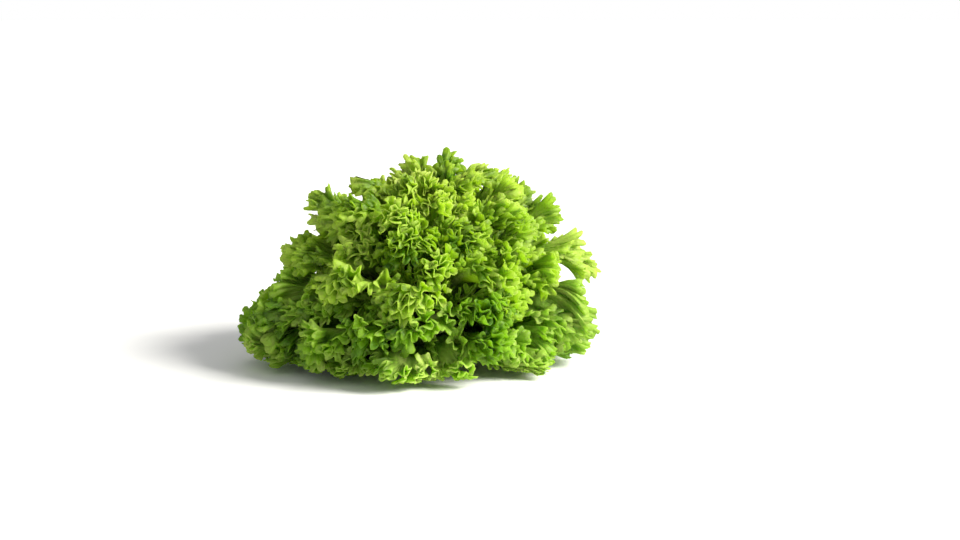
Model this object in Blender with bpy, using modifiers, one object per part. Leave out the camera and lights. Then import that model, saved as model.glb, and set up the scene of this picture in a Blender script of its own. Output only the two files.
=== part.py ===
"""Green leaf lettuce: one cut head that stands on its stem, with its frilled leaves in a rosette.

Run it with Blender 4.5: blender --background --python part.py
Units are metres. The origin is the middle of the cut face under the stem, +Z is up, and the head's
front looks along -Y.

Every leaf lies on one sheet of a family that opens like the pages of a fan, from the sheet that droops
to the table (level 0) to the one that closes the heart (the last level). A wave in a margin moves it a
little way towards the next level, and neighbours wave in step, so the leaves nest without touching.
"""

import math
import random

import bmesh
import bpy
from mathutils import Vector

# The head, measured from a point on its axis in the middle of the dome
LEAF_COUNT = 40
DOME_RADIUS = 0.116
DOME_MIDDLE_HEIGHT = 0.034
FIRST_LEAF_AZIMUTH = math.radians(205.0)
GOLDEN_ANGLE = math.radians(137.508)
SEED = 7

# How far the outermost sheet leans from upright at its margin, and how far the heart stays open. At the
# stem a sheet has a share of its lean, and the knee of its arch is at a share of its length.
OUTER_LEAN = math.radians(112.0)
HEART_OPENING = math.radians(5.0)
LEAN_AT_STEM = 0.62
ARCH_ARM = 0.5

# Where the dome stands out: azimuth and elevation in degrees, height of the bulge, its angular size
BULGES = (
    (-5.0, 79.0, 0.020, 13.0),
    (0.0, 12.0, 0.016, 30.0),
    (186.0, -9.0, 0.029, 14.0),
    (175.0, 41.0, 0.013, 16.0),
    (180.0, 72.0, -0.009, 11.0),
    (10.0, 40.0, 0.012, 18.0),
)

# The stem
STEM_RADIUS = 0.017
STEM_HEIGHT = 0.062
STEM_TAPER = 1.8
STEM_CUT_EDGE = 0.0015
STEM_RINGS = 10
STEM_SIDES = 24
LOWEST_LEAF_HEIGHT = 0.010
HIGHEST_LEAF_HEIGHT = 0.060
GAP = 0.0005

# A leaf's outline: half its spread in azimuth at the stem and at its margin, and how much its sides
# are cut back from the tip's length
OUTER_SPREAD_AT_STEM = math.radians(25.0)
HEART_SPREAD_AT_STEM = math.radians(36.0)
OUTER_SPREAD = math.radians(40.5)
HEART_SPREAD = math.radians(46.0)
SIDE_CUT = 0.76
SIDE_ROUNDNESS = 2.0
SPREAD_EASE = 2.0
LOBE_DEPTH = 0.08
LOBES = 4.0
LOBE_ONSET = 4.0

# Waves, as levels of the family that they reach to, waves in a full circle and turn of phase from one
# level to the next: frills in the margins, uneven round the head, and broad folds that neighbours share.
# The upright leaves droop outwards at their margins by a few levels.
FRILL_REACH = 2.3
FRILL_WAVES = 24
FRILL_STEP = 0.19
FRILL_ONSET = 3.2
FRILL_WANDER_WAVES = 3
FRILL_WANDER = 0.05
FRILL_UNEVENNESS = 0.2
FRILL_SWAY = 0.9
FOLD_REACH = 3.0
HEART_FOLD_SHARE = 0.1
FOLD_WAVES = 7
FOLD_START = math.radians(160.0)
FOLD_STEP = 0.09
FOLD_ONSET = 1.6
HEART_DROOP = 4.0
DROOP_ONSET = 4.0

# Bunches: towards the margin the levels are drawn together and leave gaps between one bunch and the next
BUNCH_DEPTH = 0.6
BUNCH_LEVELS = 7.5
BUNCH_START = 2.5
BUNCH_ONSET = 2.0

# Thickness
BLADE_THICKNESS = 0.0009
OUTER_RIB_THICKNESS = 0.0032
HEART_RIB_THICKNESS = 0.0012
RIB_NARROWNESS = 2.0
RIB_FADE = 1.5

# The slow drift that takes the regularity out of the whole head: how far it moves a margin, the lengths of
# its two waves over a full turn, and where they start for X, Y and Z
DRIFT = 0.006
DRIFT_WAVES = (0.0178, 0.0229)
DRIFT_STARTS = ((0.4, 2.1), (1.7, 0.3), (2.9, 1.1))

# The table: leaves that would pass through it flatten out above it
TABLE_CLEARANCE = 0.0022
TABLE_SOFTNESS = 0.014

# How much the leaves differ: length, spread and height of their frills, as shares
LENGTHS = (0.86, 1.04)
WIDTHS = (0.92, 1.02)
WAVES = (0.88, 1.06)

# The sheet that a leaf is bent from: heights of its rows, and the rows from which its columns double
FOOT_COLUMNS = 6
ROWS = (0.0, 0.3, 0.54, 0.74, 0.89, 1.0)
DOUBLING_ROWS = (2, 3)
TINY = 1e-6

# Colours, linear, with roughness: outer and middle leaves, heart and stem
FINISHES = {
    "outer_leaf": ((0.075, 0.215, 0.018), 0.45),
    "middle_leaf": ((0.185, 0.385, 0.028), 0.42),
    "heart_leaf": ((0.400, 0.560, 0.070), 0.40),
    "stem": ((0.560, 0.620, 0.330), 0.50),
}
FIRST_MIDDLE_LEAF = 15
FIRST_HEART_LEAF = 31


def between(outer, heart, level):
    """A value that changes evenly from the outermost leaf to the heart."""
    return outer + (heart - outer) * level / (LEAF_COUNT - 1)


def direction(azimuth, lean):
    """The unit vector at this azimuth, leaning this far from upright."""
    return Vector((math.sin(lean) * math.cos(azimuth), math.sin(lean) * math.sin(azimuth), math.cos(lean)))


def stem_radius(height):
    """The stump is widest at its cut and rounds over at the growing tip."""
    return STEM_RADIUS * math.sqrt(max(0.0, 1.0 - (height / STEM_HEIGHT) ** STEM_TAPER))


def lean_of(level):
    """How far this level leans from upright: it falls evenly, and eases off before it closes the heart."""
    lean = between(OUTER_LEAN, 0.0, level)
    return 0.5 * (lean + math.hypot(lean, HEART_OPENING))


def dome_radius(azimuth, lean):
    """How far the margins reach in this direction: a ball with a few broad bulges."""
    towards = direction(azimuth, lean)
    reach = DOME_RADIUS
    for bulge_azimuth, elevation, rise, size in BULGES:
        middle = direction(math.radians(bulge_azimuth), math.radians(90.0 - elevation))
        reach += rise * math.exp((towards.dot(middle) - 1.0) / (1.0 - math.cos(math.radians(size))))
    return reach


def sheet_point(level, azimuth, share):
    """The point of the level's sheet at a share of the way from the stem to the margin."""
    lean = lean_of(level)
    foot_height = between(LOWEST_LEAF_HEIGHT, HIGHEST_LEAF_HEIGHT, level)
    foot = Vector((stem_radius(foot_height) + GAP, foot_height))
    reach = dome_radius(azimuth, lean)
    margin = Vector((reach * math.sin(lean), DOME_MIDDLE_HEIGHT + reach * math.cos(lean)))
    start = lean * LEAN_AT_STEM
    arm = ARCH_ARM * (margin - foot).length
    knee = foot + arm * Vector((math.sin(start), math.cos(start)))
    rest = 1.0 - share
    radius, height = rest * rest * foot + 2.0 * rest * share * knee + share * share * margin
    return Vector((radius * math.cos(azimuth), radius * math.sin(azimuth), height))


def drifted(point):
    """The point after a slow swirl that grows with its distance from the middle."""
    out = (point - Vector((0.0, 0.0, DOME_MIDDLE_HEIGHT))).length / DOME_RADIUS
    short, long = DRIFT_WAVES
    swirl = Vector([
        math.sin(one / short + short_start) + math.sin(other / long + long_start)
        for one, other, (short_start, long_start) in zip(point.yzx, point.zxy, DRIFT_STARTS)
    ])
    return point + swirl * (0.5 * DRIFT * out * out)


def above_table(point):
    """The point, or one above it where it comes near the table."""
    bend = TABLE_CLEARANCE + TABLE_SOFTNESS
    if point.z < bend:
        point.z = TABLE_CLEARANCE + TABLE_SOFTNESS * math.exp((point.z - bend) / TABLE_SOFTNESS)
    return point


def bunched(level, azimuth, share):
    """The level after the bunching. The order of the levels stays, so nothing crosses."""
    phase = 2.0 * math.pi * level / BUNCH_LEVELS + 1.6 * math.sin(3.0 * azimuth + 1.0) - 2.0 * azimuth + BUNCH_START
    return level + BUNCH_DEPTH * BUNCH_LEVELS / (2.0 * math.pi) * share**BUNCH_ONSET * math.sin(phase)


def leaf_point(leaf, across, along):
    """Where the leaf's blade is: across runs from -1 to 1, along from 0 at the stem to 1 at the margin."""
    level = leaf["level"]
    foot_spread = between(OUTER_SPREAD_AT_STEM, HEART_SPREAD_AT_STEM, level)
    spread = between(OUTER_SPREAD, HEART_SPREAD, level) * leaf["width"]
    opening = 1.0 - (1.0 - along) ** SPREAD_EASE
    turn = (1.0 - opening) * foot_spread * across + opening * spread * math.sin(across * math.pi / 2.0)
    azimuth = leaf["azimuth"] - turn
    cut = SIDE_CUT * (1.0 - math.cos(across * math.pi / 2.0)) ** SIDE_ROUNDNESS
    share = along * (1.0 - cut) * leaf["length"]
    lobe = math.sin(LOBES * math.pi * across + leaf["lobe_phase"])
    share *= 1.0 + LOBE_DEPTH * along**LOBE_ONSET * lobe
    wander = math.sin(FRILL_WANDER_WAVES * azimuth)
    frill_reach = FRILL_REACH * math.sin(lean_of(level)) * leaf["wave"]
    frill_reach *= (1.0 - FRILL_UNEVENNESS * wander) * share**FRILL_ONSET
    sway = FRILL_SWAY * math.sin(4.0 * azimuth + 5.0 * share)
    frill = frill_reach * math.sin(FRILL_WAVES * (azimuth + FRILL_WANDER * wander) + FRILL_STEP * level + sway)
    fold_reach = FOLD_REACH * between(1.0, HEART_FOLD_SHARE, level) * share**FOLD_ONSET
    fold = fold_reach * math.sin(FOLD_WAVES * azimuth + FOLD_STEP * level + FOLD_START)
    droop = between(0.0, HEART_DROOP, level) * share**DROOP_ONSET
    waved_level = bunched(level + frill + fold - droop, azimuth, share)
    return above_table(drifted(sheet_point(waved_level, azimuth, share)))


def leaf_sheet():
    """A flat triangulated sheet whose columns double towards the margin, where the waves are."""
    bm = bmesh.new()
    row_count = len(ROWS) - 1
    bmesh.ops.create_grid(bm, x_segments=FOOT_COLUMNS, y_segments=row_count, size=1.0)
    for vert in bm.verts:
        vert.co.y = ROWS[round((vert.co.y + 1.0) / 2.0 * row_count)]
    for row in DOUBLING_ROWS:
        rungs = [
            edge
            for edge in bm.edges
            if min(vert.co.y for vert in edge.verts) > ROWS[row] - TINY
            and abs(edge.verts[0].co.y - edge.verts[1].co.y) < TINY
        ]
        bmesh.ops.subdivide_edges(bm, edges=rungs, cuts=1, use_grid_fill=True)
    bmesh.ops.triangulate(bm, faces=bm.faces[:])
    return bm


def material(name):
    """A finish's material, made once."""
    colour, roughness = FINISHES[name]
    made = bpy.data.materials.get(name) or bpy.data.materials.new(name)
    made.use_nodes = True
    made.diffuse_color = (*colour, 1.0)
    shader = made.node_tree.nodes["Principled BSDF"]
    shader.inputs["Base Color"].default_value = (*colour, 1.0)
    shader.inputs["Roughness"].default_value = roughness
    shader.inputs["Metallic"].default_value = 0.0
    return made


def add_object(name, mesh, finish, collection):
    """Puts a finished mesh into the head's collection."""
    mesh.materials.append(material(finish))
    made = bpy.data.objects.new(name, mesh)
    collection.objects.link(made)
    return made


def add_leaf(number, draw, collection):
    """One leaf: the flat sheet bent to its place, then thickened below, most along its midrib."""
    level = number - 1
    leaf = {
        "level": level,
        "azimuth": FIRST_LEAF_AZIMUTH + level * GOLDEN_ANGLE,
        "length": draw.uniform(*LENGTHS),
        "width": draw.uniform(*WIDTHS),
        "wave": draw.uniform(*WAVES),
        "lobe_phase": draw.uniform(0.0, 2.0 * math.pi),
    }
    kind = "outer_leaf" if number < FIRST_MIDDLE_LEAF else "middle_leaf"
    if number >= FIRST_HEART_LEAF:
        kind = "heart_leaf"
    rib_thickness = between(OUTER_RIB_THICKNESS, HEART_RIB_THICKNESS, level)
    blade_share = BLADE_THICKNESS / rib_thickness

    bm = leaf_sheet()
    thickness = bm.verts.layers.deform.verify()
    for vert in bm.verts:
        across, along = vert.co.x, vert.co.y
        rib = (1.0 - abs(across)) ** RIB_NARROWNESS * (1.0 - along) ** RIB_FADE
        vert[thickness][0] = blade_share + (1.0 - blade_share) * rib
        vert.co = leaf_point(leaf, across, along)
    mesh = bpy.data.meshes.new(f"{kind}_{number:02d}")
    bm.to_mesh(mesh)
    bm.free()
    made = add_object(mesh.name, mesh, kind, collection)
    made.vertex_groups.new(name="thickness")
    wall = made.modifiers.new("Thickness", "SOLIDIFY")
    wall.thickness = rib_thickness
    wall.vertex_group = "thickness"
    wall.offset = -1.0
    mesh.shade_smooth()


def add_stem(collection):
    """The stem: a turned stump, flat where it was cut and rounded over at the growing tip."""
    heights = [STEM_HEIGHT * math.cos(0.5 * math.pi * step / STEM_RINGS) for step in range(STEM_RINGS)]
    outline = [(stem_radius(height), height) for height in heights]
    outline += [(STEM_RADIUS, STEM_CUT_EDGE), (STEM_RADIUS - STEM_CUT_EDGE, 0.0), (0.0, 0.0)]
    bm = bmesh.new()
    corners = [bm.verts.new((radius, 0.0, height)) for radius, height in outline]
    for upper, lower in zip(corners, corners[1:]):
        bm.edges.new((upper, lower))
    mesh = bpy.data.meshes.new("stem")
    bm.to_mesh(mesh)
    bm.free()
    stem = add_object("stem", mesh, "stem", collection)
    turned = stem.modifiers.new("Turned", "SCREW")
    turned.steps = STEM_SIDES
    turned.render_steps = STEM_SIDES
    turned.use_merge_vertices = True
    turned.merge_threshold = 0.00001


def main():
    for old in list(bpy.data.objects):
        bpy.data.objects.remove(old)
    head = bpy.data.collections.new("green_leaf_lettuce")
    bpy.context.scene.collection.children.link(head)
    add_stem(head)
    draw = random.Random(SEED)
    for number in range(1, LEAF_COUNT + 1):
        add_leaf(number, draw, head)


main()
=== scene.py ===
# %% [markdown]
# # A head of curly green leaf lettuce
# The real thing is a rosette: a short stem, and forty leaves that follow each other round it in a spiral.
# Each leaf is a plain green blade near the stem, and at its margin it has grown so much faster than in
# its middle that it can't lie flat. It buckles into folds, the folds into frills, the frills into curls.
# This lesson grows the leaves in that order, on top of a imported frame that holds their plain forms.

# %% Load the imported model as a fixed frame
import math
import random

import bmesh
import bpy
import numpy as np
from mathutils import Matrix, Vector


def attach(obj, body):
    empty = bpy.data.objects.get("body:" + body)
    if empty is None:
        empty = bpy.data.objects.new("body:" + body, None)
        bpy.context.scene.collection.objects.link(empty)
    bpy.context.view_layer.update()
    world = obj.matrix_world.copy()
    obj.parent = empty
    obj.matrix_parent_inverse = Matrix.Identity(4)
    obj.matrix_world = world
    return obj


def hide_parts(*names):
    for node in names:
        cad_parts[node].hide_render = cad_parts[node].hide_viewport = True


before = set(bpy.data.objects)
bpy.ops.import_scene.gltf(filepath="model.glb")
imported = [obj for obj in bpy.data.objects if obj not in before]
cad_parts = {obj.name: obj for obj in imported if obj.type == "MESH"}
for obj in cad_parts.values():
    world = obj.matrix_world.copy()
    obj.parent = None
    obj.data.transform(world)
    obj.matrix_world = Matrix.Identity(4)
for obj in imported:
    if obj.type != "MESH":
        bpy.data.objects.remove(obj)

MM = 0.001
FULL_TURN = 2.0 * math.pi
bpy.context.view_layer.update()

# %% [markdown]
# ## One family of sheets
# Forty waved leaves would cross each other if each were shaped alone. Instead all of them lie on one family
# of nested sheets, like the pages of a book that is opened into a fan: level 0 droops to the table, the last
# level closes the heart. A leaf is a piece of its own level's sheet. Whatever is said in levels, such as
# "this wave reaches two levels up", bends neighbours together, and they can't cross. The frame's own
# leaves were made by the same rule, so the finer leaves land on them.

# %% How far each level leans
LEAF_COUNT = 40
OUTER_LEAN = math.radians(112.0)
HEART_OPENING = math.radians(5.0)


def between(outer, heart, level):
    """A value that changes evenly from the outermost leaf to the heart."""
    return outer + (heart - outer) * level / (LEAF_COUNT - 1)


def lean_of(level):
    """How far a level leans from upright at its margin. It eases off before it closes the heart."""
    lean = between(OUTER_LEAN, 0.0, level)
    return 0.5 * (lean + np.hypot(lean, HEART_OPENING))


leans = [round(math.degrees(lean_of(level)), 1) for level in (0, LEAF_COUNT - 1)]
print("the margins lean from", leans[0], "degrees outside to", leans[1], "in the heart")

# %% The dome that the margins reach
DOME_RADIUS = 0.116
DOME_MIDDLE_HEIGHT = 0.034
BULGES = (  # azimuth and elevation in degrees, height of the bulge, its angular size
    (-5.0, 79.0, 0.020, 13.0),
    (0.0, 12.0, 0.016, 30.0),
    (186.0, -9.0, 0.029, 14.0),
    (175.0, 41.0, 0.013, 16.0),
    (180.0, 72.0, -0.009, 11.0),
    (10.0, 40.0, 0.012, 18.0),
)


def direction(azimuth, lean):
    """Unit vectors at these azimuths, leaning this far from upright."""
    return np.stack([np.sin(lean) * np.cos(azimuth), np.sin(lean) * np.sin(azimuth), np.cos(lean)], axis=-1)


def dome_radius(azimuth, lean):
    """How far the margins reach in this direction: a ball with a few broad bulges."""
    towards = direction(azimuth, lean)
    reach = np.full(towards.shape[:-1], DOME_RADIUS)
    for bulge_azimuth, elevation, rise, size in BULGES:
        middle = direction(math.radians(bulge_azimuth), math.radians(90.0 - elevation))
        reach += rise * np.exp((towards @ middle - 1.0) / (1.0 - math.cos(math.radians(size))))
    return reach


level_round = dome_radius(np.linspace(0.0, FULL_TURN, 72), np.full(72, math.pi / 2.0)) / MM
print("level with its middle the dome reaches", round(level_round.min()), "to", round(level_round.max()))

# %% [markdown]
# ## From the stem to the margin
# A leaf leaves the stem steeply and bows outwards, more the further down it sits. Three points say that
# arch: the foot on the stem, the margin on the dome, and a knee between them that pulls the line up.

# %% A sheet arches from the stem to the dome
STEM_RADIUS, STEM_HEIGHT = 0.017, 0.062
STEM_TAPER = 1.8
LOWEST_LEAF_HEIGHT, HIGHEST_LEAF_HEIGHT = 0.010, 0.060
LEAN_AT_STEM = 0.62  # a share of the margin's lean
ARCH_ARM = 0.5  # from the foot to the knee, as a share of the way to the margin
GAP = 0.0005  # between the stem and a leaf's foot


def stem_radius(height):
    return STEM_RADIUS * np.sqrt(np.clip(1.0 - (height / STEM_HEIGHT) ** STEM_TAPER, 0.0, 1.0))


def foot_height(level):
    return between(LOWEST_LEAF_HEIGHT, HIGHEST_LEAF_HEIGHT, level)


def sheet_point(level, azimuth, share):
    """Points of a level's sheet at a share of the way from the stem to the margin: an arch round the axis."""
    lean = lean_of(level)
    foot = np.stack([stem_radius(foot_height(level)) + GAP, foot_height(level)], axis=-1)
    reach = dome_radius(azimuth, lean)
    margin = np.stack([reach * np.sin(lean), DOME_MIDDLE_HEIGHT + reach * np.cos(lean)], axis=-1)
    start = lean * LEAN_AT_STEM
    arm = ARCH_ARM * np.linalg.norm(margin - foot, axis=-1)
    knee = foot + arm[:, None] * np.stack([np.sin(start), np.cos(start)], axis=-1)
    share = share[:, None]
    rest = 1.0 - share
    radius, height = (rest * rest * foot + 2.0 * rest * share * knee + share * share * margin).T
    return np.stack([radius * np.cos(azimuth), radius * np.sin(azimuth), height], axis=-1)


tip = sheet_point(np.array([LEAF_COUNT / 2.0]), np.zeros(1), np.ones(1))[0] / MM
print("a middle leaf ends", round(tip[0]), "mm out and", round(tip[2]), "mm up")

# %% [markdown]
# ## A slow drift, and the table
# Pure arches look as if they were turned on a lathe, so slow waves through space carry every point off a
# little. Neighbouring points go the same way, and the sheets stay apart. The lowest leaves meet the table:
# a point that would sink into it is eased to a small height above it.

# %% Drift the points, and keep them above the table
DRIFT = 0.006
SHORT_DRIFT, LONG_DRIFT = 0.0178, 0.0229  # wave lengths, divided by a full turn
SHORT_DRIFT_STARTS, LONG_DRIFT_STARTS = (0.4, 1.7, 2.9), (2.1, 0.3, 1.1)
TABLE_CLEARANCE = 0.0022
TABLE_SOFTNESS = 0.014


def drifted(points):
    """The points after a slow swirl that grows with their distance from the middle."""
    out = np.linalg.norm(points - (0.0, 0.0, DOME_MIDDLE_HEIGHT), axis=-1, keepdims=True) / DOME_RADIUS
    swirl = np.sin(points[:, (1, 2, 0)] / SHORT_DRIFT + SHORT_DRIFT_STARTS)
    swirl += np.sin(points[:, (2, 0, 1)] / LONG_DRIFT + LONG_DRIFT_STARTS)
    return points + swirl * (0.5 * DRIFT * out * out)


def above_table(points):
    """Points that come near the table flatten out above it."""
    bend = TABLE_CLEARANCE + TABLE_SOFTNESS
    low = TABLE_CLEARANCE + TABLE_SOFTNESS * np.exp((np.minimum(points[:, 2], bend) - bend) / TABLE_SOFTNESS)
    points[:, 2] = np.where(points[:, 2] < bend, low, points[:, 2])
    return points


touching = above_table(np.zeros((1, 3)))[0, 2]
print("a point at the table's height is lifted", round(touching / MM, 1), "mm")

# %% [markdown]
# ## A leaf's outline, folds and frills
# A leaf is told by two numbers: across, from -1 at its left side to 1 at its right, and along, from 0 at the
# stem to 1 at the margin. Its outline is a fan with rounded sides. Folds are broad and shared by a whole
# neighbourhood, frills are narrower and grow towards the margin, and bunches draw a few leaves together
# with dark gaps between them. All three are said in levels, so they keep the leaves apart.

# %% The outline
OUTER_SPREAD_AT_STEM, HEART_SPREAD_AT_STEM = math.radians(25.0), math.radians(36.0)  # to each side
OUTER_SPREAD, HEART_SPREAD = math.radians(40.5), math.radians(46.0)
SPREAD_EASE = 2.0
SIDE_CUT, SIDE_ROUNDNESS = 0.76, 2.0
LOBES, LOBE_DEPTH, LOBE_ONSET = 4.0, 0.08, 4.0


def leaf_outline(leaf):
    """A function that gives the azimuth, and the share of the way to the dome, for a place on the leaf."""
    foot_spread = between(OUTER_SPREAD_AT_STEM, HEART_SPREAD_AT_STEM, leaf["level"])
    spread = between(OUTER_SPREAD, HEART_SPREAD, leaf["level"]) * leaf["width"]

    def place(across, along):
        opening = 1.0 - (1.0 - along) ** SPREAD_EASE
        turn = (1.0 - opening) * foot_spread * across + opening * spread * np.sin(across * math.pi / 2.0)
        cut = SIDE_CUT * (1.0 - np.cos(across * math.pi / 2.0)) ** SIDE_ROUNDNESS
        lobe = np.sin(LOBES * math.pi * across + leaf["lobe_phase"])
        share = along * (1.0 - cut) * leaf["length"] * (1.0 + LOBE_DEPTH * along**LOBE_ONSET * lobe)
        return leaf["azimuth"] - turn, share

    return place


print("an outer leaf reaches", round(2.0 * math.degrees(OUTER_SPREAD)), "degrees round the head")

# %% The folds and frills, in levels
FOLD_WAVES, FOLD_REACH, HEART_FOLD_SHARE, FOLD_ONSET = 7, 3.0, 0.1, 1.6
FOLD_START, FOLD_STEP = math.radians(160.0), 0.09
FRILL_WAVES, FRILL_REACH, FRILL_STEP, FRILL_ONSET = 24, 2.3, 0.19, 3.2
FRILL_WANDER_WAVES, FRILL_WANDER, FRILL_UNEVENNESS = 3, 0.05, 0.2
SWAY, SWAY_ROUND, SWAY_OUTWARD = 0.9, 4.0, 5.0


def fold(leaf, azimuth, share):
    """Broad waves that run through a whole neighbourhood of leaves."""
    reach = FOLD_REACH * between(1.0, HEART_FOLD_SHARE, leaf["level"]) * share**FOLD_ONSET
    return reach * np.sin(FOLD_WAVES * azimuth + FOLD_STEP * leaf["level"] + FOLD_START)


def frill(leaf, azimuth, share):
    """Narrower waves that sway from side to side on their way to the margin."""
    wander = np.sin(FRILL_WANDER_WAVES * azimuth)
    reach = FRILL_REACH * np.sin(lean_of(leaf["level"])) * leaf["wave"]
    reach = reach * (1.0 - FRILL_UNEVENNESS * wander) * share**FRILL_ONSET
    sway = SWAY * np.sin(SWAY_ROUND * azimuth + SWAY_OUTWARD * share)
    return reach * np.sin(FRILL_WAVES * (azimuth + FRILL_WANDER * wander) + FRILL_STEP * leaf["level"] + sway)


print(FOLD_WAVES, "folds and", FRILL_WAVES, "frills stand round the head")

# %% Bunches and droop, and the blade that comes of it all
BUNCH_LEVELS, BUNCH_DEPTH, BUNCH_ONSET = 7.5, 0.6, 2.0
BUNCH_START, BUNCH_SLANT = 2.5, 2.0
BUNCH_WANDER, BUNCH_WANDER_WAVES, BUNCH_WANDER_START = 1.6, 3.0, 1.0
HEART_DROOP, DROOP_ONSET = 4.0, 4.0


def bunched(level, azimuth, share):
    """Levels drawn together into bunches, with gaps between them that open towards the margin."""
    wander = BUNCH_WANDER * np.sin(BUNCH_WANDER_WAVES * azimuth + BUNCH_WANDER_START)
    phase = FULL_TURN * level / BUNCH_LEVELS + wander - BUNCH_SLANT * azimuth + BUNCH_START
    return level + BUNCH_DEPTH * BUNCH_LEVELS / FULL_TURN * share**BUNCH_ONSET * np.sin(phase)


def blade(leaf, azimuth, share):
    """Points of the leaf before its margin curls."""
    droop = between(0.0, HEART_DROOP, leaf["level"]) * share**DROOP_ONSET
    level = leaf["level"] + frill(leaf, azimuth, share) + fold(leaf, azimuth, share) - droop
    return above_table(drifted(sheet_point(bunched(level, azimuth, share), azimuth, share)))


print("a bunch gathers", BUNCH_LEVELS, "levels, and the heart droops by", HEART_DROOP)

# %% [markdown]
# ## A surface that knows its directions
# The curls will be built on the blade, square to it, so a blade has to say more than where it is. Here a
# surface is a function of across and along that gives three things: the points, the direction along the
# margin there, and the direction out of the blade. The directions come from points a tiny step away.

# %% The leaf as a surface
STEP = 0.0008


def unit(vectors):
    """The vectors at length one."""
    return vectors / np.maximum(np.linalg.norm(vectors, axis=-1, keepdims=True), 1e-12)


def leaf_surface(leaf):
    """The surface of this leaf before its margin curls."""
    place = leaf_outline(leaf)

    def surface(across, along):
        azimuth, share = place(across, along)
        points = blade(leaf, azimuth, share)
        around = blade(leaf, azimuth + STEP, share) - points
        outward = blade(leaf, azimuth, share + STEP) - points
        normal = unit(np.cross(outward, around))
        side = blade(leaf, *place(across + STEP, along)) - points
        side = unit(side - normal * np.sum(side * normal, axis=-1, keepdims=True))
        return points, side, normal

    return surface


print("directions are measured over a step of", STEP)

# %% [markdown]
# ## Curls that grow on frills
# A margin with too much length runs like a river that meanders: its course swings from side to side, and
# past a swing of 90 degrees it doubles back, so that every curl is a round lobe with a narrow neck. Such a
# course has a simple rule, a direction that swings like a sine. The helper below takes a surface and gives a
# new one with curls on it. Used twice, with another wave the second time, it gives the curls their own
# curls. Nothing in nature is even, so a few slow waves make the curls wander and change in strength.

# %% Small helpers for what happens at a margin
WANDER_WAVES, WANDER_PACES, WANDER_HEIGHT = 3, (0.6, 1.4), 1.8
MARGIN_STOPS = 4000


def wandering(draw, pace):
    """A smooth function of across that wanders between about -1 and 1, with its own start and course."""
    parts = [(draw.uniform(*WANDER_PACES) * pace, draw.uniform(0.0, FULL_TURN)) for _ in range(WANDER_WAVES)]
    return lambda across: sum(np.sin(rate * across + start) for rate, start in parts) / WANDER_HEIGHT


def near_margin(along, onset, power):
    """Nothing up to the onset, then a rise to one at the margin."""
    return (np.maximum(along - onset, 0.0) / (1.0 - onset)) ** power


def margin_course(surface):
    """Across values from side to side, and how far along the margin each of them is, in metres."""
    stops = np.linspace(-1.0, 1.0, MARGIN_STOPS)
    pieces = np.linalg.norm(np.diff(surface(stops, np.ones_like(stops))[0], axis=0), axis=-1)
    return stops, np.concatenate([[0.0], np.cumsum(pieces)])


def meander(swing, phase):
    """Height above and slip along a straight course, as shares of the wave, for a course that swings so far.

    The sums are the first terms of the Bessel functions that average a sine-swinging direction.
    """
    square = swing * swing
    advance = 1.0 - square / 4.0 + square**2 / 64.0 - square**3 / 2304.0
    height = swing * (0.5 - square / 16.0 + square**2 / 384.0) / advance
    slip = square * (0.125 - square / 96.0 + square**2 / 3072.0) / advance
    return height * np.sin(phase) / math.pi, -slip * np.sin(2.0 * phase) / FULL_TURN


rise = meander(math.radians(90.0), math.pi / 2.0)[0]
print("a curl that swings 90 degrees rises", round(rise, 2), "of its wave to each side")

# %% Curl a surface's margin
MOST_SWING = math.radians(105.0)  # not far past this the lobes of a meander touch each other
CURL_WANDER, WANDER_PACE = 2.6, 0.10
CURL_UNEVENNESS, UNEVENNESS_PACE = 0.40, 0.16
FOOT_CALM, FOOT_CALM_POWER = 0.75, 6  # the curls are weaker where a leaf's side meets its foot
FLARE_DROP = 0.6


def curled(surface, draw, wave_length, swing, onset, growth, flare, flare_onset):
    """The surface with curls that start at onset, swing this far at the margin, and flare out at the end."""
    stops, distance = margin_course(surface)
    rate = math.pi * distance[-1] / wave_length
    wander, strength = wandering(draw, WANDER_PACE * rate), wandering(draw, UNEVENNESS_PACE * rate)
    start = draw.uniform(0.0, FULL_TURN)

    def with_curls(across, along):
        points, side, normal = surface(across, along)
        outward = np.cross(normal, side)
        travelled = FULL_TURN * np.interp(across, stops, distance) / wave_length
        phase = travelled + CURL_WANDER * wander(across) + start
        calm = 1.0 - FOOT_CALM * np.abs(across) ** FOOT_CALM_POWER
        unevenness = (1.0 + CURL_UNEVENNESS * strength(across)) * calm
        swing_here = MOST_SWING * np.tanh(swing / MOST_SWING * near_margin(along, onset, growth) * unevenness)
        height, slip = meander(swing_here, phase)
        over = flare * near_margin(along, flare_onset, 2.0) * unevenness
        rise = height + over * np.sin(phase)
        drop = FLARE_DROP * over * np.sin(phase) ** 2
        shift = normal * rise[:, None] + side * slip[:, None] - outward * drop[:, None]
        turn = (swing_here * np.cos(phase))[:, None]
        turned_side = np.cos(turn) * side + np.sin(turn) * normal
        return points + wave_length * shift, turned_side, np.cos(turn) * normal - np.sin(turn) * side

    return with_curls


print("no curl swings further than", round(math.degrees(MOST_SWING)), "degrees")

# %% [markdown]
# ## Puckers, lobes and teeth
# Between its veins a lettuce blade swells like a quilt. Six waves in random directions, added up, give such
# a swelling with no pattern in it. The margin itself is cut into round lobes with narrow notches: a sine
# folded over at zero has just that outline. A second, slower one makes some lobes longer than others.

# %% Swell the blade and cut the margin
PUCKER_WAVES, PUCKER_SUM = 6, 2.0  # six waves seldom add up to more than two
MARGIN_WANDER, MARGIN_WANDER_PACE = 4.0, 23.0
SLOW_LOBE_DEPTH, SLOW_LOBE_PACE, SLOW_LOBE_START = 0.6, 0.43, 1.0


def random_wave(draw, size):
    """A wave through space as a heading, so long as the wave is short, and a start."""
    heading = np.array([draw.uniform(-1.0, 1.0) for _ in range(3)])
    return heading / np.linalg.norm(heading) * FULL_TURN / size, draw.uniform(0.0, FULL_TURN)


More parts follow.
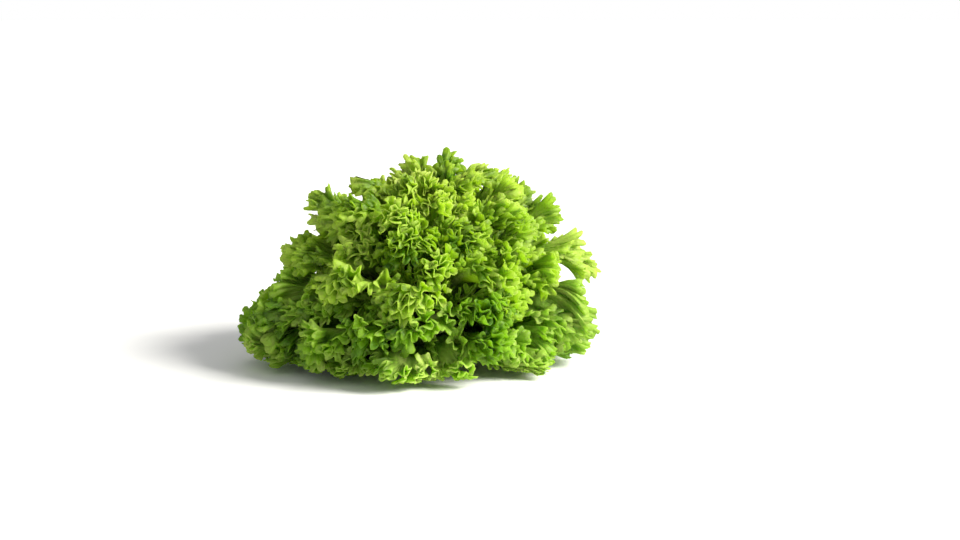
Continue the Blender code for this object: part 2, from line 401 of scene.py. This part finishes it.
def puckered(surface, draw, height, size, onset):
    """The surface with its blade swollen between the veins."""
    waves = [random_wave(draw, size) for _ in range(PUCKER_WAVES)]

    def with_puckers(across, along):
        points, side, normal = surface(across, along)
        swelling = sum(np.sin(points @ heading + start) for heading, start in waves) / PUCKER_SUM
        from_ends = 1.0 - np.abs(2.0 * along - 1.0)  # 0 at the foot and at the margin, 1 halfway
        rise = height * near_margin(from_ends, onset, 1.0) * swelling
        return points + normal * rise[:, None], side, normal

    return with_puckers


def round_lobes(phase):
    """Round lobes with narrow notches between them, from -1 in a notch to 1 on a lobe."""
    return 2.0 * np.abs(np.sin(0.5 * phase)) - 1.0


def lobed(surface, draw, depth, spacing, onset):
    """The surface with its margin drawn out and cut back in uneven lobes."""
    stops, distance = margin_course(surface)
    wander = wandering(draw, MARGIN_WANDER_PACE)
    start = draw.uniform(0.0, FULL_TURN)

    def with_lobes(across, along):
        points, side, normal = surface(across, along)
        travelled = FULL_TURN * np.interp(across, stops, distance) / spacing
        phase = travelled + MARGIN_WANDER * wander(across) + start
        lobes = round_lobes(phase) + SLOW_LOBE_DEPTH * round_lobes(SLOW_LOBE_PACE * phase + SLOW_LOBE_START)
        reach = depth * near_margin(along, onset, 1.0) * lobes
        return points + np.cross(normal, side) * reach[:, None], side, normal

    return with_lobes


print("a blade is swollen by", PUCKER_WAVES, "crossing waves")

# %% [markdown]
# ## The mesh of a leaf
# The blade starts as a flat grid in across and along. Its columns double five times on the way to the
# margin, where the curls need them, so that the faces go where they are seen. The leaf keeps its flat
# coordinates as a UV map, for veins and colour that follow the blade.

# %% A flat sheet whose columns double towards the margin
ROW_BANDS = ((0.0, 2), (0.20, 3), (0.40, 3), (0.60, 3), (0.78, 3), (0.92, 2))  # start of a band, and its rows
BIG_LEAF_COLUMNS, HEART_LEAF_COLUMNS = 36, 20
TINY = 1e-6


def flat_sheet(foot_columns):
    """A grid over across and along, finer in each band of rows than in the one below."""
    starts = [start for start, _ in ROW_BANDS] + [1.0]
    rows = [0.0]
    for (start, count), end in zip(ROW_BANDS, starts[1:]):
        rows += [start + (end - start) * (step + 1) / count for step in range(count)]
    bm = bmesh.new()
    bmesh.ops.create_grid(bm, x_segments=foot_columns, y_segments=len(rows) - 1, size=1.0)
    for vert in bm.verts:
        vert.co.y = rows[round((vert.co.y + 1.0) / 2.0 * (len(rows) - 1))]
    for start in starts[1:-1]:
        rungs = [
            edge
            for edge in bm.edges
            if min(vert.co.y for vert in edge.verts) > start - TINY
            and abs(edge.verts[0].co.y - edge.verts[1].co.y) < TINY
        ]
        bmesh.ops.subdivide_edges(bm, edges=rungs, cuts=1, use_grid_fill=True)
    sheet = bpy.data.meshes.new("flat_sheet")
    bm.to_mesh(sheet)
    bm.free()
    print("a sheet with", len(sheet.vertices), "points and", len(sheet.polygons), "faces")
    return sheet


big_sheet, heart_sheet = flat_sheet(BIG_LEAF_COLUMNS), flat_sheet(HEART_LEAF_COLUMNS)
sheets = {"outer_leaf": big_sheet, "middle_leaf": big_sheet, "heart_leaf": heart_sheet}

# %% Bend a sheet to its leaf
PUCKER, PUCKER_SIZE, PUCKER_ONSET = 0.0012, 0.013, 0.1
OUTER_CURL, HEART_CURL = 0.0180, 0.0100
CURLS = {"swing": math.radians(112.0), "onset": 0.70, "growth": 1.3, "flare": 0.40, "flare_onset": 0.84}
SMALL_CURL = 0.0080
SMALL_CURLS = {"swing": math.radians(70.0), "onset": 0.70, "growth": 1.6, "flare": 0.15, "flare_onset": 0.90}
SCALLOP, SCALLOP_SPACING, SCALLOP_ONSET = 0.0018, 0.0120, 0.80
TOOTH, TOOTH_SPACING, TOOTH_ONSET = 0.0007, 0.0045, 0.90


def leaf_mesh(name, sheet, leaf, draw):
    """The sheet bent to this leaf's place, with its flat coordinates kept as a UV map."""
    mesh = sheet.copy()
    mesh.name = name
    flat = np.empty(len(mesh.vertices) * 3)
    mesh.vertices.foreach_get("co", flat)
    column, along = flat.reshape(-1, 3)[:, :2].T

    surface = puckered(leaf_surface(leaf), draw, PUCKER, PUCKER_SIZE, PUCKER_ONSET)
    surface = curled(surface, draw, between(OUTER_CURL, HEART_CURL, leaf["level"]), **CURLS)
    stops, distance = margin_course(surface)
    across = np.interp((column + 1.0) / 2.0 * distance[-1], distance, stops)  # even spacing on the curls
    surface = curled(surface, draw, SMALL_CURL, **SMALL_CURLS)
    surface = lobed(surface, draw, SCALLOP, SCALLOP_SPACING, SCALLOP_ONSET)
    surface = lobed(surface, draw, TOOTH, TOOTH_SPACING, TOOTH_ONSET)
    points = above_table(surface(across, along)[0])

    corners = np.empty(len(mesh.loops), int)
    mesh.loops.foreach_get("vertex_index", corners)
    uv = mesh.uv_layers.new(name="blade")
    uv.data.foreach_set("uv", np.stack([across, along], axis=-1)[corners].ravel())
    mesh.vertices.foreach_set("co", points.ravel())
    mesh.update()
    print(name, "has a margin of", round(distance[-1], 2), "m")
    return mesh, across, along


print("curls are", OUTER_CURL / MM, "mm long outside,", HEART_CURL / MM, "mm in the heart")

# %% [markdown]
# ## The leaf's thickness
# A lettuce blade is half a millimetre thick, but its midrib swells to several where it joins the stem. The
# Solidify modifier gives the sheet its wall, and a vertex group tells it how thick the wall is at each
# point. Every leaf also gets a tone of its own, a number that the finish reads to make it paler or darker.

# %% Thicken it, most along its midrib
BLADE_THICKNESS = 0.0005
OUTER_RIB_THICKNESS, HEART_RIB_THICKNESS = 0.0034, 0.0014
RIB_WIDTH, RIB_WIDENING, RIB_THINNING = 0.05, 0.30, 1.2  # the widths are shares of across


def thicken(piece, across, along, rib_thickness):
    """A wall behind the sheet, as thick as the vertex group says."""
    share = BLADE_THICKNESS / rib_thickness
    width = RIB_WIDTH + RIB_WIDENING * (1.0 - along) ** 2
    rib = np.exp(-((across / width) ** 2)) * (1.0 - along) ** RIB_THINNING
    group = piece.vertex_groups.new(name="thickness")
    for index, value in enumerate(share + (1.0 - share) * rib):
        group.add([index], float(value), "REPLACE")
    wall = piece.modifiers.new("Thickness", "SOLIDIFY")
    wall.thickness = rib_thickness
    wall.vertex_group = group.name
    wall.offset = -1.0


print("midribs are", OUTER_RIB_THICKNESS / MM, "to", HEART_RIB_THICKNESS / MM, "mm thick at the stem")

# %% Put a leaf in the place of its node
FIRST_MIDDLE_LEAF, FIRST_HEART_LEAF = 15, 31


def kind_of(number):
    """What a leaf is called, by its number from the outside."""
    if number < FIRST_MIDDLE_LEAF:
        return "outer_leaf"
    return "middle_leaf" if number < FIRST_HEART_LEAF else "heart_leaf"


def into_scene(name, data):
    """An object with this mesh, light or camera, linked to the scene."""
    made = bpy.data.objects.new(name, data)
    bpy.context.scene.collection.objects.link(made)
    return made


def add_leaf(number, leaf, draw, finishes):
    """One leaf of the rosette, in the place of its node."""
    kind = kind_of(number)
    node = f"{kind}_{number:02d}"
    mesh, across, along = leaf_mesh(f"curly_{node}", sheets[kind], leaf, draw)
    piece = into_scene(mesh.name, mesh)
    thicken(piece, across, along, between(OUTER_RIB_THICKNESS, HEART_RIB_THICKNESS, leaf["level"]))
    mesh.shade_smooth()
    mesh.materials.append(finishes[kind])
    tone = mesh.attributes.new("tone", "FLOAT", "POINT")
    tone.data.foreach_set("value", np.full(len(mesh.vertices), draw.uniform(0.0, 1.0), dtype=np.float32))
    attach(piece, "root")
    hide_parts(node)
    return piece


kinds = [kind_of(number) for number in range(1, LEAF_COUNT + 1)]
print({kind: kinds.count(kind) for kind in sheets})

# %% [markdown]
# ## Finishes by arithmetic
# A finish is a small calculation that is done for every point of the surface: how far along the leaf am I, am
# I on a vein, is this a pale patch? Blender builds such a calculation from nodes. Wrapped in a small class, a
# node's output can be used like a number in Python, so that 1 - mask adds the node that subtracts.

# %% A socket to calculate with
class Signal:
    """The output of a node. Arithmetic on it adds Math nodes to its tree and gives their output."""

    def __init__(self, tree, socket):
        self.tree = tree
        self.socket = socket

    @classmethod
    def node(cls, tree, kind, settings=(), inputs=(), output=0):
        """Any node: its settings are set first, then its sockets get their values or links."""
        made = tree.nodes.new(kind)
        for name, value in dict(settings).items():
            setattr(made, name, value)
        for key, value in dict(inputs).items():
            if isinstance(value, Signal):
                tree.links.new(value.socket, made.inputs[key])
            else:
                made.inputs[key].default_value = value
        return cls(tree, made.outputs[output])

    def output(self, index):
        return Signal(self.tree, self.socket.node.outputs[index])

    def math(self, operation, *values):
        return self.node(self.tree, "ShaderNodeMath", {"operation": operation}, enumerate(values))

    def __add__(self, other):
        return self.math("ADD", self, other)

    def __sub__(self, other):
        return self.math("SUBTRACT", self, other)

    def __rsub__(self, other):
        return self.math("SUBTRACT", other, self)

    def __mul__(self, other):
        return self.math("MULTIPLY", self, other)

    def __truediv__(self, other):
        return self.math("DIVIDE", self, other)

    def __pow__(self, other):
        return self.math("POWER", self, other)

    def __abs__(self):
        return self.math("ABSOLUTE", self)

    __radd__, __rmul__ = __add__, __mul__

    def step(self, start, end):
        """0 up to start, 1 from end on, and a smooth rise between. It falls where end is less than start."""
        low, high = (0.0, 1.0) if end > start else (1.0, 0.0)
        inputs = {0: self, 1: min(start, end), 2: max(start, end), 3: low, 4: high}
        return self.node(self.tree, "ShaderNodeMapRange", {"interpolation_type": "SMOOTHSTEP"}, inputs)

    def between(self, first, second):
        """The first colour where this is 0, the second where it is 1."""
        colours = [(*colour, 1.0) if isinstance(colour, tuple) else colour for colour in (first, second)]
        inputs = {0: self, 6: colours[0], 7: colours[1]}  # a Mix node has other sockets for other data
        return self.node(self.tree, "ShaderNodeMix", {"data_type": "RGBA"}, inputs, 2)


print("a signal can be added, subtracted, multiplied, divided and raised to a power")

# %% A new material to build in
OBJECT_OUTPUT, FACTOR_OUTPUT = 3, 2  # of a Texture Coordinate and of an Attribute node


def new_finish(name):
    """A function that adds nodes to a new material, and one that ends it with its shader."""
    made = bpy.data.materials.new(name)
    made.use_nodes = True
    made.node_tree.nodes.clear()
    end = made.node_tree.nodes.new("ShaderNodeOutputMaterial")

    def node(kind, settings=(), inputs=(), output=0):
        return Signal.node(made.node_tree, kind, settings, inputs, output)

    def finish(shader):
        made.node_tree.links.new(shader.socket, end.inputs[0])
        print(name, "is finished with", len(made.node_tree.nodes), "nodes")
        return made

    return node, finish


def object_place(node):
    """The place on the piece, in metres."""
    return node("ShaderNodeTexCoord", (), (), OBJECT_OUTPUT)


def attribute(node, name):
    """A number that the piece keeps at each point."""
    return node("ShaderNodeAttribute", {"attribute_name": name}, (), FACTOR_OUTPUT)


def noise(node, place, scale, detail):
    """Soft clouds between 0 and 1, with this many to a metre."""
    return node("ShaderNodeTexNoise", (), {0: place, "Scale": scale, "Detail": detail})


print("a finish can read the place on its piece, a number kept there, and clouds")

# %% [markdown]
# ## What a lettuce leaf looks like
# The blade is a dark green near the stem, partly its own colour and partly painted shade for the pockets
# between the leaves, and a bright yellowish green in its curls.
# A pale, thick midrib runs up from the stem, and veins fan out from it, fork, and end in a fine net.
# Between the veins the blade swells into small blisters with a waxy shine. It is thin enough to glow when
# light comes from behind, which is what makes a heap of curls look fresh and not like painted metal.

# %% Veins on a blade
VEIN_ORDERS = (  # how many veins on a side, and how far up the blade they start
    (4.0, 0.02), (9.0, 0.30), (19.0, 0.50), (43.0, 0.72), (97.0, 0.88),
)
VEIN_RISE = 0.12
VEIN_AT_MARGIN, VEIN_AT_FOOT = 0.0006, 0.06  # half widths, as shares of across
VEIN_THINNING = 2.0
VEIN_WANDER_AT_MARGIN, VEIN_WANDER_AT_FOOT = 0.001, 0.05
VEIN_EDGE = (1.0, 0.3)  # from nothing to full, in half widths from the vein's middle
SIDE_VEIN_SHARE = 0.75
MIDRIB_FLARE, MIDRIB_THINNING, MIDRIB_EDGE, MIDRIB_END = 0.45, 3.0, 0.030, (1.0, 0.75)


def leaf_veins(node, across, along, uneven):
    """Two masks: the midrib, which thins out, and all veins, in orders that start further and further up."""
    course = across + (uneven - 0.5) * (VEIN_WANDER_AT_FOOT * (1.0 - along) + VEIN_WANDER_AT_MARGIN)
    midrib = (abs(course) - MIDRIB_FLARE * (1.0 - along) ** MIDRIB_THINNING).step(MIDRIB_EDGE, 0.0)
    midrib = midrib * along.step(*MIDRIB_END)
    veins = midrib
    for lines, start in VEIN_ORDERS:
        line = node("ShaderNodeMath", {"operation": "PINGPONG"}, {0: course * lines + 0.5, 1: 0.5})
        thinness = (VEIN_ORDERS[0][0] / lines) ** 0.5
        half_width = (VEIN_AT_MARGIN + VEIN_AT_FOOT * (1.0 - along) ** VEIN_THINNING) * (lines * thinness)
        from_middle = (0.5 - line) / half_width  # the line is 0.5 on a vein and 0 halfway to the next
        vein = from_middle.step(*VEIN_EDGE) * along.step(start, start + VEIN_RISE)
        veins = veins.math("MAXIMUM", veins, vein * SIDE_VEIN_SHARE)
    return midrib, veins


print("veins come in", len(VEIN_ORDERS), "orders, the finest with", round(VEIN_ORDERS[-1][0]), "on a side")

# %% Colours from the foot to the margin
# Painted shade reaches up to the first of these places, where the dark inner green gives way to the blade's
# green.
INSIDE_TO_BLADE, BLADE_TO_MARGIN = (0.42, 0.90), (0.73, 0.98)  # where one colour turns into the next
BLADE_PATCHINESS, MARGIN_PATCHINESS, MARGIN_MOTTLE = 0.6, 0.5, 0.15  # how far patches shift those places
MARGIN_SHARE = 0.92
PALE = (0.71, 0.77, 0.21)
PALE_PATCH, DARK_PATCH, DARK_LEAF = (0.50, 0.62), (0.48, 0.36), (0.35, 0.0)
PALE_ONSET, PALE_SHARE = 2.0, 0.45
DARK_PATCH_SHARE, DARK_LEAF_SHARE = 0.72, 0.30
VEIN_SHARE, NET_SHARE = 0.55, 0.16


def leaf_colour(colours, along, broad, uneven, tone, veins, net):
    """Dark green inside, partly painted shade for the pockets between leaves, the blade's own green, a bright
    margin, pale and dark patches, and the veins.
    """
    patch, mottle = broad - 0.5, uneven - 0.5
    # Painted shade: up to INSIDE_TO_BLADE the leaf keeps its dark inner green, which also darkens the pockets
    # between the leaves.
    out_of_shade = (along + patch * BLADE_PATCHINESS).step(*INSIDE_TO_BLADE)
    colour = out_of_shade.between(colours["inner_green_and_painted_shade"], colours["blade"])
    at_margin = (along + patch * MARGIN_PATCHINESS + mottle * MARGIN_MOTTLE).step(*BLADE_TO_MARGIN)
    colour = (at_margin * MARGIN_SHARE).between(colour, colours["margin"])
    pale = (broad.step(*PALE_PATCH) * PALE_SHARE + tone * PALE_SHARE) * along**PALE_ONSET
    colour = pale.between(colour, PALE)
    dark = broad.step(*DARK_PATCH) * DARK_PATCH_SHARE + tone.step(*DARK_LEAF) * DARK_LEAF_SHARE
    colour = dark.between(colour, colours["inner_green_and_painted_shade"])
    colour = (veins * VEIN_SHARE).between(colour, colours["rib"])
    return (net * NET_SHARE).between(colour, colours["rib"])


print("a blade brightens between", INSIDE_TO_BLADE[0], "and", BLADE_TO_MARGIN[1], "along")

# %% The leaf finish
# The first colour of each leaf is its dark inner green, partly its own colour and partly painted shade for
# the pockets between the leaves.
LEAF_COLOURS = {
    "outer_leaf": {
        "inner_green_and_painted_shade": (0.018, 0.09, 0.001),
        "blade": (0.105, 0.29, 0.005),
        "margin": (0.31, 0.49, 0.026),
        "rib": (0.46, 0.55, 0.15),
        "glow": (0.58, 0.86, 0.07),
    },
    "middle_leaf": {
        "inner_green_and_painted_shade": (0.023, 0.11, 0.002),
        "blade": (0.165, 0.37, 0.008),
        "margin": (0.42, 0.59, 0.038),
        "rib": (0.52, 0.61, 0.18),
        "glow": (0.68, 0.90, 0.10),
    },
    "heart_leaf": {
        "inner_green_and_painted_shade": (0.08, 0.22, 0.005),
        "blade": (0.245, 0.45, 0.016),
        "margin": (0.47, 0.62, 0.055),
        "rib": (0.58, 0.67, 0.22),
        "glow": (0.73, 0.92, 0.13),
    },
}
PATCH_SCALE, MOTTLE_SCALE, NET_SCALE = 33.0, 130.0, 240.0
NET_EDGE, BLISTER_RISE = (0.09, 0.02), (0.0, 0.45)
BLISTER, GRAIN, VEIN_GROOVE = 0.9, 0.4, 0.8
RELIEF_DEPTH, RELIEF_STRENGTH = 0.0012, 0.30
SMOOTHEST, ROUGHNESS_RANGE = 0.40, 0.20
THROUGH_INSIDE, THROUGH_MARGIN, THROUGH_RIB = 0.14, 0.44, 0.10
THIN_FROM = (0.45, 0.95)


def leaf_finish(name, colours):
    """A blade that reflects with a waxy shine and lets light through, most at its thin margin."""
    node, finish = new_finish(name)
    place = object_place(node)
    across = node("ShaderNodeSeparateXYZ", (), {0: node("ShaderNodeUVMap", {"uv_map": "blade"})})
    along = across.output(1)
    broad, uneven = noise(node, place, PATCH_SCALE, 2.0), noise(node, place, MOTTLE_SCALE, 3.0)
    midrib, veins = leaf_veins(node, across, along, uneven)
    cells = node("ShaderNodeTexVoronoi", {"feature": "DISTANCE_TO_EDGE"}, {0: place, "Scale": NET_SCALE})
    net = cells.step(*NET_EDGE) * (1.0 - veins)
    colour = leaf_colour(colours, along, broad, uneven, attribute(node, "tone"), veins, net)

    relief = cells.step(*BLISTER_RISE) * BLISTER + uneven * GRAIN - veins * VEIN_GROOVE
    depth = {"Distance": RELIEF_DEPTH, "Strength": RELIEF_STRENGTH}
    bump = node("ShaderNodeBump", (), {"Height": relief, **depth})
    surface = {"Base Color": colour, "Roughness": SMOOTHEST + ROUGHNESS_RANGE * uneven, "Normal": bump}
    shine = node("ShaderNodeBsdfPrincipled", (), surface)
    through = node("ShaderNodeBsdfTranslucent", (), {"Color": (*colours["glow"], 1.0), "Normal": bump})
    share = THROUGH_INSIDE + THROUGH_MARGIN * along.step(*THIN_FROM) - THROUGH_RIB * midrib
    return finish(node("ShaderNodeMixShader", (), {0: share, 1: shine, 2: through}))


finishes = {kind: leaf_finish(kind, colours) for kind, colours in LEAF_COLOURS.items()}

# %% [markdown]
# ## What a cut stem looks like
# The side is pale green, with a rusty scar where each leaf sat. The cut shows a cream pith, and round it a
# ring of vessels, small darker dots in green flesh. Its rim has already turned brown in the air. One finish
# holds both: it asks for the height, and takes the cut's colours on the flat face.

# %% The stem finish
PITH, RING, VESSEL = (0.62, 0.64, 0.36), (0.44, 0.52, 0.20), (0.28, 0.36, 0.09)
RIM, STAIN = (0.33, 0.22, 0.07), (0.52, 0.36, 0.14)
STEM_GREEN, STEM_PALE, SCAR = (0.40, 0.50, 0.16), (0.56, 0.60, 0.28), (0.40, 0.28, 0.10)
CUT_DEPTH = 0.0006
VESSEL_SCALE, STEM_GRAIN_SCALE, STEM_PATCH_SCALE = 620.0, 220.0, 60.0
RING_START, RING_END, RIM_START = (0.62, 0.70), (0.86, 0.78), (0.88, 0.99)  # shares of the radius
VESSEL_DOT, STAIN_PATCH, PALE_STEM_PATCH, SCAR_EDGE = (0.45, 0.20), (0.50, 0.75), (0.35, 0.65), (0.25, 0.8)
RING_SHARE, VESSEL_SHARE, RIM_SHARE, STAIN_SHARE, SCAR_SHARE = 0.5, 0.7, 0.8, 0.35, 0.7
CUT_UNEVENNESS = 0.10
STEM_GRAIN, STEM_FIBRE = 0.6, 0.5
STEM_RELIEF_DEPTH, STEM_RELIEF_STRENGTH = 0.0006, 0.5
STEM_SMOOTHEST, STEM_ROUGHNESS_RANGE = 0.35, 0.3


def cut_colour(out, cells, broad):
    """The cut face by how far out a point is, as a share of the stem's radius."""
    ring = out.step(*RING_START) * out.step(*RING_END)
    colour = (ring * RING_SHARE).between(PITH, RING)
    colour = (ring * cells.step(*VESSEL_DOT) * VESSEL_SHARE).between(colour, VESSEL)
    colour = (out.step(*RIM_START) * RIM_SHARE).between(colour, RIM)
    return (broad.step(*STAIN_PATCH) * STAIN_SHARE).between(colour, STAIN)


def stem_finish():
    """A pale green stem with rusty leaf scars, and a cut across it."""
    node, finish = new_finish("stem")
    place = object_place(node)
    x = node("ShaderNodeSeparateXYZ", (), {0: place})
    y, z = x.output(1), x.output(2)
    uneven, broad = noise(node, place, STEM_GRAIN_SCALE, 3.0), noise(node, place, STEM_PATCH_SCALE, 2.0)
    cells = node("ShaderNodeTexVoronoi", (), {0: place, "Scale": VESSEL_SCALE})
    out = (x * x + y * y) ** 0.5 * (1.0 / STEM_RADIUS) + (uneven - 0.5) * CUT_UNEVENNESS

    side = broad.step(*PALE_STEM_PATCH).between(STEM_GREEN, STEM_PALE)
    side = (attribute(node, "scar").step(*SCAR_EDGE) * SCAR_SHARE).between(side, SCAR)
    colour = z.step(CUT_DEPTH, 0.3 * CUT_DEPTH).between(side, cut_colour(out, cells, broad))
    depth = {"Distance": STEM_RELIEF_DEPTH, "Strength": STEM_RELIEF_STRENGTH}
    bump = node("ShaderNodeBump", (), {"Height": uneven * STEM_GRAIN + cells * STEM_FIBRE, **depth})
    roughness = STEM_SMOOTHEST + STEM_ROUGHNESS_RANGE * uneven
    surface = {"Base Color": colour, "Roughness": roughness, "Normal": bump}
    return finish(node("ShaderNodeBsdfPrincipled", (), surface))


print("the pith ends", round(RING_START[0] * STEM_RADIUS / MM, 1), "mm from the middle of the cut")

# %% [markdown]
# ## The stem
# The knife went through the stem just under the lowest leaves, so what is left is a short, pale plug with a
# flat face that the head stands on. It is turned on a lathe: a profile is swept once round the axis. Then a
# small pad swells under the foot of every leaf, where it grew out.

# %% Turn the stem
STEM_STEPS = 120
CUT_ROWS, SIDE_ROWS = 6, 44
CUT_ROUNDING = 0.0008
PAD_HEIGHT, PAD_WIDTH, PAD_LENGTH = 0.0007, 0.20, 0.0016  # the width is an angle


def stem_profile():
    """Radius and height from the middle of the cut to the tip, closer together towards the tip."""
    cut_edge = STEM_RADIUS - CUT_ROUNDING
    profile = [(cut_edge * row / CUT_ROWS, 0.0) for row in range(CUT_ROWS + 1)]
    for row in range(SIDE_ROWS + 1):
        height = CUT_ROUNDING + (STEM_HEIGHT - CUT_ROUNDING) * math.sin(0.5 * math.pi * row / SIDE_ROWS)
        profile.append((float(stem_radius(height)), height))
    return profile


def pad_at(azimuth, height, leaves):
    """1 right under a leaf's foot, falling to 0 round it."""
    pad = 0.0
    for leaf in leaves:
        turn = (azimuth - leaf["azimuth"] + math.pi) % FULL_TURN - math.pi
        below = height - (foot_height(leaf["level"]) - PAD_LENGTH)
        pad = max(pad, math.exp(-((turn / PAD_WIDTH) ** 2) - (below / PAD_LENGTH) ** 2))
    return pad


def add_stem(leaves, finish):
    """The short stem that carries the leaves, cut off flat at its foot."""
    bm = bmesh.new()
    verts = [bm.verts.new((radius, 0.0, height)) for radius, height in stem_profile()]
    edges = [bm.edges.new(pair) for pair in zip(verts, verts[1:])]
    bmesh.ops.spin(
        bm, geom=verts + edges, axis=(0.0, 0.0, 1.0), cent=(0.0, 0.0, 0.0), angle=FULL_TURN,
        steps=STEM_STEPS, use_merge=True,
    )
    bmesh.ops.remove_doubles(bm, verts=bm.verts, dist=TINY)
    bmesh.ops.recalc_face_normals(bm, faces=bm.faces)
    scar = bm.verts.layers.float.new("scar")
    for vert in bm.verts:
        azimuth, height = math.atan2(vert.co.y, vert.co.x), vert.co.z
        pad = pad_at(azimuth, height, leaves)
        vert[scar] = pad
        if height > CUT_ROUNDING:
            vert.co += Vector((math.cos(azimuth), math.sin(azimuth), 0.0)) * PAD_HEIGHT * pad
    mesh = bpy.data.meshes.new("cut_stem")
    bm.to_mesh(mesh)
    bm.free()
    mesh.shade_smooth()
    mesh.materials.append(finish)
    piece = into_scene("cut_stem", mesh)
    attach(piece, "root")
    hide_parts("stem")
    print("a stem with", len(mesh.polygons), "faces")
    return piece


print("the stem's profile has", len(stem_profile()), "points")

# %% [markdown]
# ## Grow the head
# Each new leaf starts about 137.5 degrees round from the one before, the golden angle, so that no leaf sits
# right above another. Real leaves differ a little in length, width and waviness. Those numbers are drawn
# first, for all leaves, just as they were for the frame's plain leaves, so that the two fit.

# %% Grow the leaves and the stem
SEED = 7
FIRST_LEAF_AZIMUTH = math.radians(205.0)
GOLDEN_ANGLE = math.radians(137.508)
LENGTHS, WIDTHS, WAVES = (0.86, 1.04), (0.92, 1.02), (0.88, 1.06)

draw = random.Random(SEED)
leaves = []
for level in range(LEAF_COUNT):
    leaves.append({
        "level": level,
        "azimuth": FIRST_LEAF_AZIMUTH + level * GOLDEN_ANGLE,
        "length": draw.uniform(*LENGTHS),
        "width": draw.uniform(*WIDTHS),
        "wave": draw.uniform(*WAVES),
        "lobe_phase": draw.uniform(0.0, FULL_TURN),
    })
for number, leaf in enumerate(leaves, start=1):
    add_leaf(number, leaf, draw, finishes)
add_stem(leaves, stem_finish())
print("grew", len(leaves), "leaves on a stem")

# %% [markdown]
# ## Floor and light
# The head stands on a plain pale floor. A white sky lights it from all sides and fills the shadows, and a
# broad sun from the upper right, a little in front, models the curls and shines through their margins. The
# leaves get only a part of the sky's strength, but the camera sees it pure white behind them.

# %% The floor
FLOOR_SIZE, FLOOR_GREY, FLOOR_ROUGHNESS = 60.0, 0.92, 0.9
bpy.ops.mesh.primitive_plane_add(size=FLOOR_SIZE, location=(0.0, 0.0, 0.0))
floor = bpy.context.object
floor.name = "floor"
paper = bpy.data.materials.new("floor")
paper.use_nodes = True
paper_shader = paper.node_tree.nodes["Principled BSDF"]
paper_shader.inputs["Base Color"].default_value = (FLOOR_GREY, FLOOR_GREY, FLOOR_GREY, 1.0)
paper_shader.inputs["Roughness"].default_value = FLOOR_ROUGHNESS
floor.data.materials.append(paper)
print("a floor", FLOOR_SIZE, "m wide")

# %% The sky and the sun
FILL = 0.51
SUN_STRENGTH, SUN_WIDTH = 6.8, math.radians(30.0)
SUN_COLOUR = (1.0, 0.98, 0.92)
SUN_DIRECTION = Vector((-0.95, 0.40, -0.66))

world = bpy.data.worlds.new("studio")
world.use_nodes = True
sky = world.node_tree.nodes["Background"].inputs
sky["Strength"].default_value = 1.0
seen = Signal.node(world.node_tree, "ShaderNodeLightPath")  # 1 where the camera itself looks at the sky
world.node_tree.links.new((FILL + seen * (1.0 - FILL)).socket, sky["Color"])
bpy.context.scene.world = world

sun = bpy.data.lights.new("key", "SUN")
sun.energy = SUN_STRENGTH
sun.angle = SUN_WIDTH
sun.color = SUN_COLOUR
key = into_scene("key", sun)
key.rotation_euler = SUN_DIRECTION.to_track_quat("-Z", "Y").to_euler()
sun_height = math.degrees(math.asin(-SUN_DIRECTION.normalized().z))
print("the sun stands", round(sun_height), "degrees above the floor")

# %% [markdown]
# ## The camera
# The photograph looks down on the head by about 13 degrees. Its scale fixes the lens: so many millimetres
# of lettuce to a pixel at the distance of the stem. The camera aims a little beside the head, so that the
# stem's foot lands on the right pixel without any shift.

# %% Set up the camera
ELEVATION = math.radians(13.0)
DISTANCE = 1.2
MM_PER_PIXEL = 0.778
IMAGE_WIDTH, IMAGE_HEIGHT = 960, 540
SENSOR_WIDTH = 36.0
ORIGIN_PIXEL = (425.0, 359.0)  # where the stem's foot is in the picture
lens = bpy.data.cameras.new("camera")
lens.sensor_width = SENSOR_WIDTH
lens.lens = SENSOR_WIDTH * DISTANCE / (MM_PER_PIXEL * MM * IMAGE_WIDTH)
camera = into_scene("camera", lens)
camera.location = (0.0, -DISTANCE * math.cos(ELEVATION), DISTANCE * math.sin(ELEVATION))
target = Vector((
    (IMAGE_WIDTH / 2 - ORIGIN_PIXEL[0]) * MM_PER_PIXEL * MM,
    0.0,
    (ORIGIN_PIXEL[1] - IMAGE_HEIGHT / 2) * MM_PER_PIXEL * MM / math.cos(ELEVATION),
))
camera.rotation_euler = (target - camera.location).to_track_quat("-Z", "Y").to_euler()
bpy.context.scene.camera = camera
bpy.context.scene.view_settings.view_transform = "Standard"
print("a lens of", round(lens.lens), "mm")
